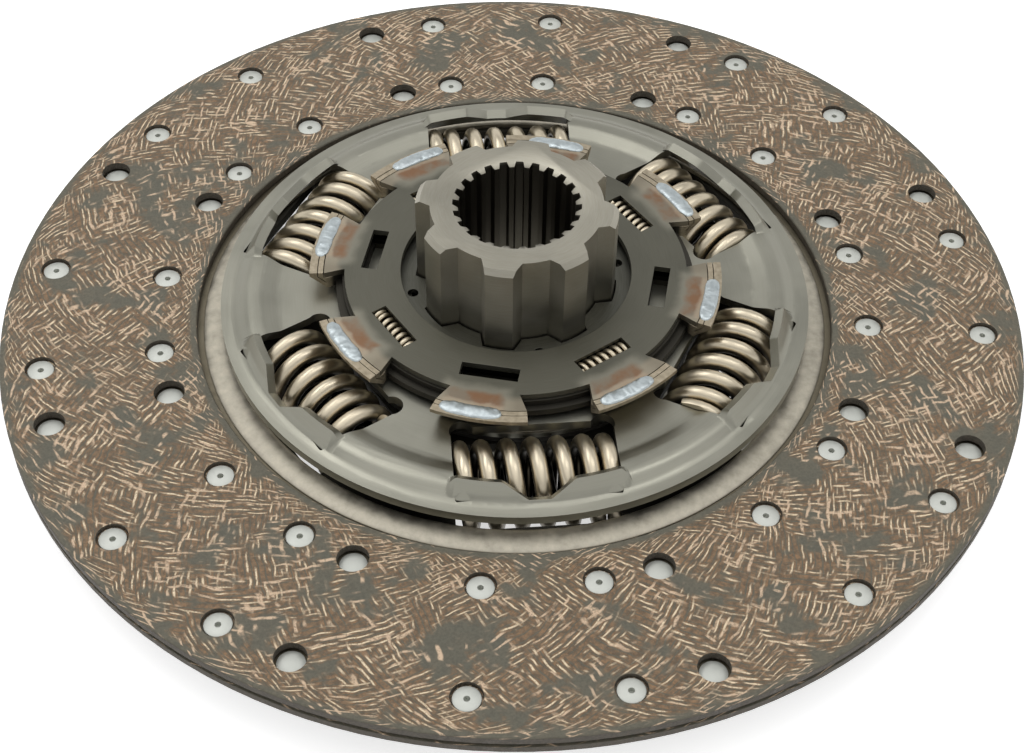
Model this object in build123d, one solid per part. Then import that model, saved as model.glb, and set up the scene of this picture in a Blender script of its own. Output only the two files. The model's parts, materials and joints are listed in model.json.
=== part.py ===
from build123d import *
import os
from math import cos, radians, sin, sqrt

# Truck clutch disc, in millimetres. +Z is the hub axis and points to the gearbox side.
# Heights named "..._z" are measured from the mid-plane between the two facings;
# everything is lifted by hub_drop at the end, so that the hub's lower end stands on Z = 0.

# ---- friction facings and their rivets
facing_outer_r = 215.0
facing_inner_r = 134.5
facing_thickness = 3.6
facing_gap = 2.0
facing_edge_break = 0.5
outer_rivet_circle_r = 198.6
inner_rivet_circle_r = 150.2
rivet_groups = 8
rivet_group_angle = 90.0
rivet_pair_half_angle = 8.48
lower_rivet_angle = 17.54
rivet_head_r = 5.4
rivet_head_thickness = 1.0
rivet_dome = 0.4
rivet_dome_flat_r = 3.0
rivet_shank_r = 2.5
rivet_pin_hole_r = 1.2
rivet_pin_hole_depth = 2.4
rivet_seat_r = 6.2
rivet_seat_depth = 2.3
shank_clearance = 0.1

# ---- cushion disc, the spring sheet between the facings
cushion_thickness = 0.9
cushion_inner_r = 121.2
cushion_outer_r = 212.0
cushion_bend_start_r = 137.0
cushion_bend_end_r = 141.0
raised_paddle_half_angle = 12.4
slit_angle = 1.2

# ---- drive plate, welded under the cushion disc
drive_plate_thickness = 4.0
drive_plate_outer_r = 130.0
drive_plate_inner_r = 66.0
drive_window_inner_r = 75.2
drive_window_outer_r = 118.2
drive_window_corner_r = 2.0

# ---- main damper springs
main_spring_count = 6
main_spring_angle = 91.1
main_spring_circle_r = 95.1
main_spring_outer_r = 18.6
main_spring_wire_r = 3.3
main_spring_length = 64.0
main_spring_turns = 6.7
inner_spring_outer_r = 10.6
inner_spring_wire_r = 1.8
inner_spring_turns = 9.5
spring_end_clearance = 0.3
spring_grind = 0.2

# ---- guide plates, one above and one below the drive plate
guide_thickness = 4.0
guide_outer_r = 123.8
guide_rim_z = 12.4
guide_rim_inner_r = 118.5
guide_ridge_outer_r = 113.0
guide_ridge_inner_r = 107.0
guide_ridge_z = 15.6
guide_plateau_outer_r = 100.6
guide_plateau_z = 13.3
guide_bend_r = 7.0
guide_window_inner_r = 77.9
guide_window_outer_r = 114.5
guide_window_corner_r = 1.0
guide_window_relief_r = 4.8
guide_window_relief_inset = 1.6
guide_window_relief_overhang = 0.5
lip_half_angle = 18.1
lip_base_r = 117.8
lip_edge_r = 112.7
lip_edge_z = 19.6
lip_notch_floor = 2.0
lip_notch_floor_half_width = 4.5
lip_notch_floor_corner_r = 1.5
lip_notch_mouth_half_width = 14.0
lip_notch_mouth_corner_r = 5.0
lower_guide_bore_r = 38.5

# ---- spacer pins that join the guide plates
pin_count = 8
pin_circle_r = 59.5
pin_body_r = 5.0
pin_spigot_r = 3.5

# ---- friction device between the drive plate and the guide plates
friction_ring_inner_r = 66.6
friction_ring_outer_r = 75.4
friction_ring_thickness = 2.5
pressure_ring_thickness = 2.5
disc_spring_thickness = 1.4

# ---- pre-damper cage
cage_angle = 31.5
cage_plate_thickness = 2.8
cage_bottom_z = 15.6
cage_tab_count = 8
cage_tab_r = 80.2
cage_spacer_tab_r = 82.7
cage_base_tab_r = 86.2
cage_tab_bend_r = 79.2
cage_sheet_gap = 0.3
cage_base_edge = 1.8
cage_tab_half_angle = 13.0
cage_neck_half_angle = 11.2
cage_waist_r = 71.7
cage_waist_step = 1.0
cage_base_r = 75.4
cage_hole_r = 48.3
cage_spacer_inner_r = 69.0
cage_floor_r = 66.0
cage_bore_r = 44.5
cage_window_count = 4
cage_window_circle_r = 60.4
cage_window_length = 23.6
cage_window_width = 6.7
weld_half_angle = 8.7
weld_shift_angle = -2.7
weld_inner_r = 79.3
weld_outer_r = 85.4
weld_height = 1.0
weld_toe_height = 0.3
weld_crown_width = 2.4

# ---- pre-damper springs and flange
small_spring_outer_r = 4.7
small_spring_wire_r = 1.0
small_spring_turns = 6.6
small_spring_z = 18.7
small_spring_room = 0.25
small_spring_end_room = 0.4
predamper_flange_thickness = 2.0
predamper_flange_outer_r = 65.4
flange_window_width = 10.2
flange_running_gap = 0.1
peep_hole_r = 2.2
peep_hole_circle_r = 44.0
peep_hole_turn = 67.5

# ---- hub
hub_top_z = 60.2
hub_drop = 26.0
hub_lug_count = 8
hub_lug_tip_r = 41.5
hub_lug_root_r = 35.4
hub_lug_tip_half_angle = 7.9
hub_lug_root_half_angle = 13.4
hub_lug_chamfer = 2.1
hub_shoulder_z = -12.0
hub_barrel_r = 34.4
hub_foot_chamfer = 1.5
spline_teeth = 24
spline_major_r = 26.3
spline_minor_r = 24.0
spline_major_half_angle = 3.3
spline_minor_half_angle = 5.1
spline_turn = 9.15
bore_chamfer_r = 27.4
bore_chamfer_depth = 1.6
lug_slip_gap = 0.6
lug_root_play_angle = 0.5
lug_tip_play_angle = 0.9
predamper_travel = 4.0
predamper_stop_play_angle = 0.3
main_damper_travel = 8.0

# ---- hub bush, support washer and snap ring
bush_flange_thickness = 2.0
bush_flange_r = 43.0
bush_gap = 0.1
washer_thickness = 1.8
washer_outer_r = 44.0
snap_ring_thickness = 2.0
snap_ring_outer_r = 37.2
snap_groove_r = 32.6
snap_ring_gap_angle = 90
snap_ring_gap_half_angle = 6.0
axial_gap = 0.2

# ---- heights and angles that follow from the sizes above
facing_inner_z = facing_gap / 2
facing_outer_z = facing_inner_z + facing_thickness
cushion_top_z = cushion_thickness / 2
drive_top_z = -cushion_top_z
drive_mid_z = drive_top_z - drive_plate_thickness / 2
drive_bottom_z = drive_top_z - drive_plate_thickness
guide_floor_z = guide_plateau_z - guide_thickness
lip_run = lip_base_r - lip_edge_r
lip_rise = lip_edge_z - guide_rim_z
lip_length = sqrt(lip_run * lip_run + lip_rise * lip_rise)
lower_guide_top_z = 2 * drive_mid_z - guide_floor_z
lower_guide_bottom_z = 2 * drive_mid_z - guide_plateau_z
cage_base_top_z = cage_bottom_z + cage_plate_thickness
cage_spacer_top_z = cage_base_top_z + cage_plate_thickness
cage_top_z = cage_spacer_top_z + cage_plate_thickness
cage_floor_top_z = guide_plateau_z + cage_plate_thickness
flange_bottom_z = cage_floor_top_z + flange_running_gap
flange_top_z = flange_bottom_z + predamper_flange_thickness
group_pitch = 360 / rivet_groups
window_pitch = 360 / main_spring_count
raised_angles = [rivet_group_angle + group_pitch * k for k in range(rivet_groups)]
lowered_angles = [a + group_pitch / 2 for a in raised_angles]
lowered_paddle_half_angle = group_pitch / 2 - raised_paddle_half_angle - slit_angle
window_angles = [main_spring_angle + window_pitch * k for k in range(main_spring_count)]
tab_angles = [cage_angle + 360 / cage_tab_count * k for k in range(cage_tab_count)]
small_spring_angles = [cage_angle + 360 / cage_window_count * k for k in range(cage_window_count)]
slot_angles = [a + 180 / cage_window_count for a in small_spring_angles]
pin_angles = [cage_angle + 180 / pin_count + 360 / pin_count * k for k in range(pin_count)]


def polar(r, angle, z=0.0):
    """Point at radius r and angle in degrees about the hub axis."""
    return (r * cos(radians(angle)), r * sin(radians(angle)), z)


def ring(inner_r, outer_r, low_z, high_z):
    """Flat ring between two heights."""
    body = Pos(0, 0, low_z) * extrude(Circle(outer_r) - Circle(inner_r), high_z - low_z)
    return body


def cylinder(r, low_z, high_z):
    """Round bar on the hub axis."""
    return Pos(0, 0, low_z) * extrude(Circle(r), high_z - low_z)


def turned(points, start=0.0, angle=360.0):
    """Solid of revolution from (radius, height) points, over an angle from a start angle."""
    face = make_face(Polyline(*[(r, 0, z) for r, z in points], close=True))
    return Rot(0, 0, start) * revolve(face, Axis.Z, angle)


def sector(inner_r, outer_r, low_z, high_z, middle, half_angle):
    """Piece of a flat ring, centred on an angle."""
    points = [(inner_r, low_z), (outer_r, low_z), (outer_r, high_z), (inner_r, high_z)]
    return turned(points, middle - half_angle, 2 * half_angle)


def toothed_face(count, root_r, tip_r, root_half, tip_half, turn):
    """Round face with straight-sided lugs that point outwards."""
    edges = []
    pitch = 360 / count
    for k in range(count):
        a = turn + pitch * k
        root_in = polar(root_r, a - root_half)
        tip_in = polar(tip_r, a - tip_half)
        tip_out = polar(tip_r, a + tip_half)
        root_out = polar(root_r, a + root_half)
        next_in = polar(root_r, a + pitch - root_half)
        edges.append(Line(root_in, tip_in))
        edges.append(ThreePointArc(tip_in, polar(tip_r, a), tip_out))
        edges.append(Line(tip_out, root_out))
        edges.append(ThreePointArc(root_out, polar(root_r, a + pitch / 2), next_in))
    return make_face(edges)


def toothed_bar(face, low_z, high_z):
    """Bar with a toothed section, between two heights."""
    return Pos(0, 0, low_z) * extrude(face, high_z - low_z)


def on_circle(shape, r, angle):
    """Shape moved out to radius r and turned to an angle, its own X pointing outwards."""
    return Rot(0, 0, angle) * Pos(r, 0, 0) * shape


def cut(body, tools):
    """Body with a list of tools taken away one after another."""
    for tool in tools:
        body = body - tool
    return body


# ---- facings

def rivet_places(offsets):
    """(radius, angle) of each rivet: both circles, at each raised paddle's angle plus the offsets."""
    places = []
    for r in (outer_rivet_circle_r, inner_rivet_circle_r):
        for a in raised_angles:
            for offset in offsets:
                places.append((r, a + offset))
    return places


upper_rivet_places = rivet_places((-rivet_pair_half_angle, rivet_pair_half_angle))
lower_rivet_places = rivet_places((lower_rivet_angle,))


def facing(own_places, other_places):
    """Upper facing: stepped holes for its own rivets, clearance holes over the other facing's."""
    c = facing_edge_break
    body = turned([
        (facing_inner_r, facing_inner_z),
        (facing_outer_r, facing_inner_z),
        (facing_outer_r, facing_outer_z - c),
        (facing_outer_r - c, facing_outer_z),
        (facing_inner_r + c, facing_outer_z),
        (facing_inner_r, facing_outer_z - c),
    ])
    seat = cylinder(rivet_seat_r, facing_outer_z - rivet_seat_depth, facing_outer_z + c)
    shank = cylinder(rivet_shank_r + shank_clearance, 0, facing_outer_z)
    through = cylinder(rivet_seat_r, 0, facing_outer_z + c)
    tools = [on_circle(seat + shank, r, a) for r, a in own_places]
    tools += [on_circle(through, r, a) for r, a in other_places]
    return body - Compound(children=[tool for tool in tools])


def rivet():
    """One upper-facing rivet on the Z axis: tubular head above, domed tail under the paddle."""
    head_low = facing_outer_z - rivet_seat_depth
    head_top = head_low + rivet_head_thickness
    tail_top = facing_inner_z - cushion_thickness
    tail_low = tail_top - rivet_head_thickness
    body = turned([
        (0, tail_low - rivet_dome),
        (rivet_dome_flat_r, tail_low - rivet_dome),
        (rivet_head_r, tail_low + rivet_dome / 2),
        (rivet_head_r, tail_top),
        (rivet_shank_r, tail_top),
        (rivet_shank_r, head_low),
        (rivet_head_r, head_low),
        (rivet_head_r, head_top - rivet_dome / 2),
        (rivet_head_r - rivet_dome, head_top),
        (0, head_top),
    ])
    return body - cylinder(rivet_pin_hole_r, head_top - rivet_pin_hole_depth, head_top)


def flipped(body):
    """Body mirrored to the other side of the facings' mid-plane."""
    return mirror(body, Plane.XY)


# ---- cushion disc

def paddle(middle, half_angle, lift):
    """One paddle with its bend, raised or lowered against a facing, with its rivet holes."""
    t = cushion_thickness / 2
    return turned([
        (cushion_bend_start_r - t, -t),
        (cushion_bend_start_r, -t),
        (cushion_bend_end_r, lift - t),
        (cushion_outer_r, lift - t),
        (cushion_outer_r, lift + t),
        (cushion_bend_end_r, lift + t),
        (cushion_bend_start_r, t),
        (cushion_bend_start_r - t, t),
    ], middle - half_angle, 2 * half_angle)


def cushion_disc():
    """Flat inner ring with raised and lowered paddles, one solid of spring sheet."""
    lift = facing_inner_z - cushion_thickness / 2
    body = ring(cushion_inner_r, cushion_bend_start_r, -cushion_top_z, cushion_top_z)
    for a in raised_angles:
        body += paddle(a, raised_paddle_half_angle, lift)
    for a in lowered_angles:
        body += paddle(a, lowered_paddle_half_angle, -lift)
    hole = cylinder(rivet_shank_r, -facing_outer_z, facing_outer_z)
    places = upper_rivet_places + lower_rivet_places
    return cut(body, [on_circle(hole, r, a) for r, a in places])


# ---- drive plate and guide plates

def spring_window(inner_r, outer_r, low_z, high_z, corner_r):
    """Rounded window over one main spring, on the X axis."""
    width = outer_r - inner_r
    length = main_spring_length + 2 * spring_end_clearance
    face = Pos((inner_r + outer_r) / 2, 0) * RectangleRounded(width, length, corner_r)
    return Pos(0, 0, low_z) * extrude(face, high_z - low_z)


def drive_plate():
    """Flat centre plate with six spring windows."""
    body = ring(drive_plate_inner_r, drive_plate_outer_r, drive_bottom_z, drive_top_z)
    window = spring_window(drive_window_inner_r, drive_window_outer_r,
                           drive_bottom_z, drive_top_z, drive_window_corner_r)
    return cut(body, [Rot(0, 0, a) * window for a in window_angles])


def guide_sheet(bore_r):
    """Pressed plate with its flat rim, raised ridge and inner plateau, joined by round bends."""
    top = [
        (guide_outer_r, guide_rim_z),
        (guide_rim_inner_r, guide_rim_z),
        (guide_ridge_outer_r, guide_ridge_z),
        (guide_ridge_inner_r, guide_ridge_z),
        (guide_plateau_outer_r, guide_plateau_z),
        (bore_r, guide_plateau_z),
    ]
    below = [(r, z - guide_thickness) for r, z in reversed(top)]
    face = make_face(Polyline(*[(r, 0, z) for r, z in top + below], close=True))
    ends = (guide_outer_r, bore_r)
    bends = [v for v in face.vertices() if min(abs(v.X - r) for r in ends) > 1]
    return revolve(fillet(bends, guide_bend_r), Axis.Z, 360)


def spring_lip():
    """Flared lip over the outer side of one window, on the X axis."""
    inward = guide_thickness * lip_rise / lip_length
    down = guide_thickness * lip_run / lip_length
    floor_z = guide_rim_z - guide_thickness
    foot_r = lip_edge_r - inward + (lip_edge_z - down - floor_z) * lip_run / lip_rise
    return turned([
        (lip_base_r, guide_rim_z),
        (lip_edge_r, lip_edge_z),
        (lip_edge_r - inward, lip_edge_z - down),
        (foot_r, floor_z),
        (lip_base_r, floor_z),
    ], -lip_half_angle, 2 * lip_half_angle)


def lip_notch():
    """Notch through the middle of one lip, square to the lip's own surface, on the X axis."""
    floor_w = lip_notch_floor_half_width
    mouth_w = lip_notch_mouth_half_width
    edge_curve = (1 - cos(mouth_w / lip_edge_r)) * lip_edge_r * lip_run / lip_length
    mouth_y = lip_length + edge_curve
    open_y = mouth_y + lip_notch_floor
    outline = [(0, lip_notch_floor), (floor_w, lip_notch_floor), (mouth_w, mouth_y),
               (2 * mouth_w, open_y), (0, open_y)]
    half = make_face(Polyline(*outline, close=True))
    floor_corner = half.vertices().sort_by_distance((floor_w, lip_notch_floor, 0))[0]
    half = fillet(floor_corner, lip_notch_floor_corner_r)
    mouth_corner = half.vertices().sort_by_distance((mouth_w, mouth_y, 0))[0]
    half = fillet(mouth_corner, lip_notch_mouth_corner_r)
    surface = Plane(origin=(lip_base_r, 0, guide_rim_z), x_dir=(0, 1, 0),
                    z_dir=(lip_rise, 0, lip_run))
    return surface * extrude(half + mirror(half, Plane.YZ), 2 * guide_thickness, both=True)


def guide_window():
    """Window cut of a guide plate on the X axis, with round reliefs in its inner corners."""
    low_z = guide_floor_z - guide_thickness
    high_z = guide_ridge_z + guide_thickness
    body = spring_window(guide_window_inner_r, guide_window_outer_r, low_z, high_z,
                         guide_window_corner_r)
    half = main_spring_length / 2 + spring_end_clearance
    relief = cylinder(guide_window_relief_r, low_z, high_z)
    offset_r = guide_window_inner_r + guide_window_relief_inset
    offset_t = half + guide_window_relief_overhang - guide_window_relief_r
    for side in (-1, 1):
        body += Pos(offset_r, side * offset_t, 0) * relief
    return body


def guide_plate(bore_r):
    """Guide plate with its windows, lips and pin holes."""
    body = guide_sheet(bore_r)
    window = guide_window()
    lip = spring_lip()
    notch = lip_notch()
    for a in window_angles:
        body -= Rot(0, 0, a) * window
        body += Rot(0, 0, a) * lip
        body -= Rot(0, 0, a) * notch
    hole = cylinder(pin_spigot_r, guide_floor_z, guide_plateau_z)
    return cut(body, [on_circle(hole, pin_circle_r, a) for a in pin_angles])


def cover_plate():
    """Gearbox-side guide plate, its bore toothed with play round the hub lugs."""
    body = guide_plate(hub_lug_root_r + lug_slip_gap)
    space = toothed_face(hub_lug_count, hub_lug_root_r + lug_slip_gap, hub_lug_tip_r + lug_slip_gap,
                         hub_lug_root_half_angle + predamper_travel + predamper_stop_play_angle,
                         hub_lug_tip_half_angle + predamper_travel + lug_tip_play_angle, cage_angle)
    return body - toothed_bar(space, guide_floor_z, guide_plateau_z)


def lower_guide_plate():
    """Flywheel-side guide plate, turned over under the drive plate."""
    body = guide_plate(lower_guide_bore_r)
    return Pos(0, 0, 2 * drive_mid_z) * mirror(body, Plane.XY)


def spacer_pin():
    """Shouldered pin between the guide plates, its upper end through the cage's base plate."""
    return turned([
        (0, lower_guide_bottom_z),
        (pin_spigot_r, lower_guide_bottom_z),
        (pin_spigot_r, lower_guide_top_z),
        (pin_body_r, lower_guide_top_z),
        (pin_body_r, guide_floor_z),
        (pin_spigot_r, guide_floor_z),
        (pin_spigot_r, cage_floor_top_z),
        (0, cage_floor_top_z),
    ])


# ---- springs

def coil(outer_r, wire_r, length, turns):
    """Compression spring along Y, centred on the origin, both ends ground flat."""
    mean_r = outer_r - wire_r
    pitch = length / turns
    overrun = wire_r + spring_grind
    height = length + 2 * overrun
    path = Helix(pitch, height, mean_r)
    profile = Plane(path @ 0, z_dir=path % 0) * Circle(wire_r)
    body = Pos(0, 0, -height / 2) * sweep(profile, path, is_frenet=True)
    block = Box(3 * outer_r, 3 * outer_r, length)
    return Rot(-90, 0, 0) * (body & block)


def main_spring():
    """Outer spring of one main window."""
    return coil(main_spring_outer_r, main_spring_wire_r, main_spring_length, main_spring_turns)


def inner_spring():
    """Inner spring nested in the outer one, wound the other way."""
    body = coil(inner_spring_outer_r, inner_spring_wire_r, main_spring_length, inner_spring_turns)
    return mirror(body, Plane.YZ)


def small_spring():
    """Pre-damper spring."""
    return coil(small_spring_outer_r, small_spring_wire_r, cage_window_length - small_spring_end_room,
                small_spring_turns)


# ---- pre-damper cage

def tab_outline(waist_r, tip_r):
    """Round face with eight flared tabs."""
    pitch = 360 / cage_tab_count
    edges = []
    for a in tab_angles:
        neck_in = polar(waist_r, a - cage_neck_half_angle)
        tip_in = polar(tip_r, a - cage_tab_half_angle)
        tip_out = polar(tip_r, a + cage_tab_half_angle)
        neck_out = polar(waist_r, a + cage_neck_half_angle)
        next_in = polar(waist_r, a + pitch - cage_neck_half_angle)
        edges.append(Line(neck_in, tip_in))
        edges.append(ThreePointArc(tip_in, polar(tip_r, a), tip_out))
        edges.append(Line(tip_out, neck_out))
        edges.append(ThreePointArc(neck_out, polar(waist_r, a + pitch / 2), next_in))
    return make_face(edges)


def tab_ends(section):
    """Eight upturned tab ends with one turned section."""
    ends = [turned(section, a - cage_tab_half_angle, 2 * cage_tab_half_angle) for a in tab_angles]
    return Compound(children=ends)


def cage_window(length, width):
    """Rectangle of one cage window on the X axis."""
    return Pos(cage_window_circle_r, 0) * Rectangle(width, length)


def spring_groove():
    """Room for one pre-damper spring, on the X axis."""
    room = Rot(90, 0, 0) * extrude(Circle(small_spring_outer_r + small_spring_room), cage_window_length / 2, both=True)
    return Pos(cage_window_circle_r, 0, small_spring_z) * room


def cage_plate_cuts(low_z, high_z):
    """Four spring windows and four plain slots through a cage plate."""
    face = cage_window(cage_window_length, cage_window_width)
    tool = Pos(0, 0, low_z) * extrude(face, high_z - low_z)
    cuts = [Rot(0, 0, a) * (tool + spring_groove()) for a in small_spring_angles]
    return cuts + [Rot(0, 0, a) * tool for a in slot_angles]


def predamper_top_plate():
    """Top plate of the cage, with its round hole over the hub."""
    body = Pos(0, 0, cage_spacer_top_z) * extrude(tab_outline(cage_waist_r, cage_tab_r), cage_plate_thickness)
    body -= cylinder(cage_hole_r, cage_spacer_top_z, cage_top_z)
    return cut(body, cage_plate_cuts(cage_spacer_top_z, cage_top_z))


def predamper_spacer():
    """Middle layer of the cage: a tabbed ring, its tab ends turned up round the top plate's."""
    outline = tab_outline(cage_waist_r + cage_waist_step, cage_tab_bend_r)
    body = Pos(0, 0, cage_base_top_z) * extrude(outline, cage_plate_thickness)
    rise = cage_spacer_tab_r - cage_tab_bend_r
    body += tab_ends([
        (cage_tab_bend_r, cage_base_top_z),
        (cage_spacer_tab_r, cage_base_top_z + rise),
        (cage_spacer_tab_r, cage_top_z),
        (cage_tab_r + cage_sheet_gap, cage_top_z),
        (cage_tab_r + cage_sheet_gap, cage_spacer_top_z),
        (cage_tab_bend_r, cage_spacer_top_z),
    ])
    return body - cylinder(cage_spacer_inner_r, cage_base_top_z, cage_spacer_top_z)


def predamper_base_plate():
    """Dished base plate of the cage, seated on the cover plate and pinned to it."""
    t = cage_plate_thickness
    bowl = turned([
        (cage_bore_r, guide_plateau_z),
        (cage_floor_r + t, guide_plateau_z),
        (cage_spacer_inner_r + t / 2, cage_bottom_z),
        (cage_base_r, cage_bottom_z),
        (cage_base_r, cage_base_top_z),
        (cage_spacer_inner_r, cage_base_top_z),
        (cage_floor_r + t / 2, cage_floor_top_z),
        (cage_bore_r, cage_floor_top_z),
    ])
    outline = tab_outline(cage_waist_r + cage_waist_step, cage_tab_bend_r)
    tabs = Pos(0, 0, cage_bottom_z) * extrude(outline, t)
    body = bowl + (tabs - cylinder(cage_waist_r, cage_bottom_z, cage_base_top_z))
    slope_gap = cage_sheet_gap * sqrt(2)
    inner_r = cage_spacer_tab_r + cage_sheet_gap
    body += tab_ends([
        (cage_tab_bend_r, cage_bottom_z),
        (cage_base_tab_r, cage_top_z - cage_base_edge),
        (cage_base_tab_r, cage_top_z),
        (inner_r, cage_top_z),
        (inner_r, cage_base_top_z + inner_r - slope_gap - cage_tab_bend_r),
        (cage_tab_bend_r + slope_gap, cage_base_top_z),
        (cage_tab_bend_r, cage_base_top_z),
    ])
    hole = cylinder(pin_spigot_r, guide_plateau_z, cage_floor_top_z)
    tools = [on_circle(hole, pin_circle_r, a) for a in pin_angles]
    return cut(body, tools + cage_plate_cuts(guide_plateau_z, cage_floor_top_z))


def weld_bead(middle):
    """Low rounded bead across the upturned sheet ends of one tab."""
    toe_z = cage_top_z + weld_toe_height
    crown_z = cage_top_z + weld_height
    middle_r = (weld_inner_r + weld_outer_r) / 2
    return turned([
        (weld_inner_r, cage_top_z),
        (weld_outer_r, cage_top_z),
        (weld_outer_r, toe_z),
        (middle_r + weld_crown_width / 2, crown_z),
        (middle_r - weld_crown_width / 2, crown_z),
        (weld_inner_r, toe_z),
    ], middle + weld_shift_angle - weld_half_angle, 2 * weld_half_angle)


def predamper_flange():
    """Flange that the hub lugs carry inside the cage."""
    bore = toothed_face(hub_lug_count, hub_lug_root_r + lug_slip_gap, hub_lug_tip_r + lug_slip_gap,
                        hub_lug_root_half_angle + lug_root_play_angle,
                        hub_lug_tip_half_angle + lug_tip_play_angle, cage_angle)
    body = cylinder(predamper_flange_outer_r, flange_bottom_z, flange_top_z)
    body -= toothed_bar(bore, flange_bottom_z, flange_top_z)
    window = extrude(cage_window(cage_window_length, flange_window_width), predamper_flange_thickness)
    windows = [Rot(0, 0, a) * Pos(0, 0, flange_bottom_z) * window for a in small_spring_angles + slot_angles]
    hole = cylinder(peep_hole_r, flange_bottom_z, flange_top_z)
    holes = [on_circle(hole, peep_hole_circle_r, a + peep_hole_turn) for a in small_spring_angles]
    return cut(body, windows + holes)


# ---- friction device

def pressure_ring():
    """Steel ring between the upper friction ring and the disc spring."""
    low_z = drive_top_z + friction_ring_thickness
    return ring(friction_ring_inner_r, friction_ring_outer_r, low_z, low_z + pressure_ring_thickness)


def disc_spring():
    """Conical spring washer between the pressure ring and the cover plate."""
    low_z = drive_top_z + friction_ring_thickness + pressure_ring_thickness
    high_z = guide_floor_z
    t = disc_spring_thickness
    return turned([
        (friction_ring_inner_r, high_z - t),
        (friction_ring_outer_r, low_z),
        (friction_ring_outer_r, low_z + t),
        (friction_ring_inner_r, high_z),
    ])


def lower_support_ring():
    """Steel ring between the lower friction ring and the lower guide plate."""
    return ring(friction_ring_inner_r, friction_ring_outer_r,
                lower_guide_top_z, drive_bottom_z - friction_ring_thickness)


# ---- hub and what holds it

def hub():
    """Hub with outer lugs along its length, a plain lower barrel and a splined bore."""
    lugs = toothed_face(hub_lug_count, hub_lug_root_r, hub_lug_tip_r,
                        hub_lug_root_half_angle, hub_lug_tip_half_angle, cage_angle)
    bar = toothed_bar(lugs, hub_shoulder_z, hub_top_z)
    envelope = turned([
        (0, hub_shoulder_z),
        (hub_lug_tip_r, hub_shoulder_z),
        (hub_lug_tip_r, hub_top_z - hub_lug_chamfer),
        (hub_lug_tip_r - hub_lug_chamfer, hub_top_z),
        (0, hub_top_z),
    ])
    groove_top_z = lower_guide_bottom_z - axial_gap - washer_thickness
    groove_low_z = groove_top_z - snap_ring_thickness
    barrel = turned([
        (0, -hub_drop),
        (hub_barrel_r - hub_foot_chamfer, -hub_drop),
        (hub_barrel_r, -hub_drop + hub_foot_chamfer),
        (hub_barrel_r, groove_low_z),
        (snap_groove_r, groove_low_z),
        (snap_groove_r, groove_top_z),
        (hub_barrel_r, groove_top_z),
        (hub_barrel_r, hub_shoulder_z),
        (0, hub_shoulder_z),
    ])
    spline = toothed_face(spline_teeth, spline_minor_r, spline_major_r,
                          spline_minor_half_angle, spline_major_half_angle, spline_turn)
    mouth = turned([
        (0, hub_top_z),
        (bore_chamfer_r, hub_top_z),
        (spline_minor_r, hub_top_z - bore_chamfer_depth),
        (0, hub_top_z - bore_chamfer_depth),
    ])
    foot = Pos(0, 0, hub_top_z - hub_drop) * mirror(mouth, Plane.XY)
    body = (bar & envelope) + barrel
    return cut(body, [toothed_bar(spline, -hub_drop, hub_top_z), mouth, foot])


def hub_bush():
    """Flanged bush between the lower guide plate and the hub barrel."""
    inner_r = hub_barrel_r + bush_gap
    return turned([
        (inner_r, lower_guide_bottom_z),
        (lower_guide_bore_r, lower_guide_bottom_z),
        (lower_guide_bore_r, lower_guide_top_z),
        (bush_flange_r, lower_guide_top_z),
        (bush_flange_r, lower_guide_top_z + bush_flange_thickness),
        (inner_r, lower_guide_top_z + bush_flange_thickness),
    ])


def support_washer():
    """Washer between the lower guide plate and the snap ring."""
    high_z = lower_guide_bottom_z - axial_gap
    return ring(hub_barrel_r + bush_gap, washer_outer_r, high_z - washer_thickness, high_z)


def snap_ring():
    """Open ring in the hub's groove."""
    high_z = lower_guide_bottom_z - axial_gap - washer_thickness
    low_z = high_z - snap_ring_thickness
    body = ring(snap_groove_r, snap_ring_outer_r, low_z, high_z)
    return body - sector(snap_groove_r - 1, snap_ring_outer_r + 1, low_z, high_z,
                         snap_ring_gap_angle, snap_ring_gap_half_angle)


# ---- assembly

def group(shapes):
    """Several separate solids kept in one node."""
    return Compound(children=[solid for shape in shapes for solid in shape.solids()])


def save(name, shape):
    """Write one node, lifted so that the hub's lower end stands on Z = 0."""
    export_step(Pos(0, 0, hub_drop) * shape, f"parts/{name}.step")


os.makedirs("parts", exist_ok=True)

save("upper_facing", facing(upper_rivet_places, lower_rivet_places))
save("lower_facing", flipped(facing(lower_rivet_places, upper_rivet_places)))
save("upper_facing_rivets", group(on_circle(rivet(), r, a) for r, a in upper_rivet_places))
save("lower_facing_rivets", group(on_circle(flipped(rivet()), r, a) for r, a in lower_rivet_places))
save("cushion_disc", cushion_disc())
save("drive_plate", drive_plate())
save("upper_friction_ring", ring(friction_ring_inner_r, friction_ring_outer_r,
                                 drive_top_z, drive_top_z + friction_ring_thickness))
save("lower_friction_ring", ring(friction_ring_inner_r, friction_ring_outer_r,
                                 drive_bottom_z - friction_ring_thickness, drive_bottom_z))
save("pressure_ring", pressure_ring())
save("disc_spring", disc_spring())
save("lower_support_ring", lower_support_ring())
save("cover_plate", cover_plate())
save("lower_guide_plate", lower_guide_plate())
save("spacer_pins", group(on_circle(spacer_pin(), pin_circle_r, a) for a in pin_angles))
save("predamper_base_plate", predamper_base_plate())
save("predamper_spacer", predamper_spacer())
save("predamper_top_plate", predamper_top_plate())
save("predamper_flange", predamper_flange())
save("weld_beads", group(weld_bead(a) for a in tab_angles))
save("hub", hub())
save("hub_bush", hub_bush())
save("support_washer", support_washer())
save("snap_ring", snap_ring())

for k, a in enumerate(window_angles, 1):
    save(f"main_spring_{k}", on_circle(Pos(0, 0, drive_mid_z) * main_spring(), main_spring_circle_r, a))
    save(f"inner_spring_{k}", on_circle(Pos(0, 0, drive_mid_z) * inner_spring(), main_spring_circle_r, a))

for k, a in enumerate(small_spring_angles, 1):
    save(f"small_spring_{k}", on_circle(Pos(0, 0, small_spring_z) * small_spring(), cage_window_circle_r, a))
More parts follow.
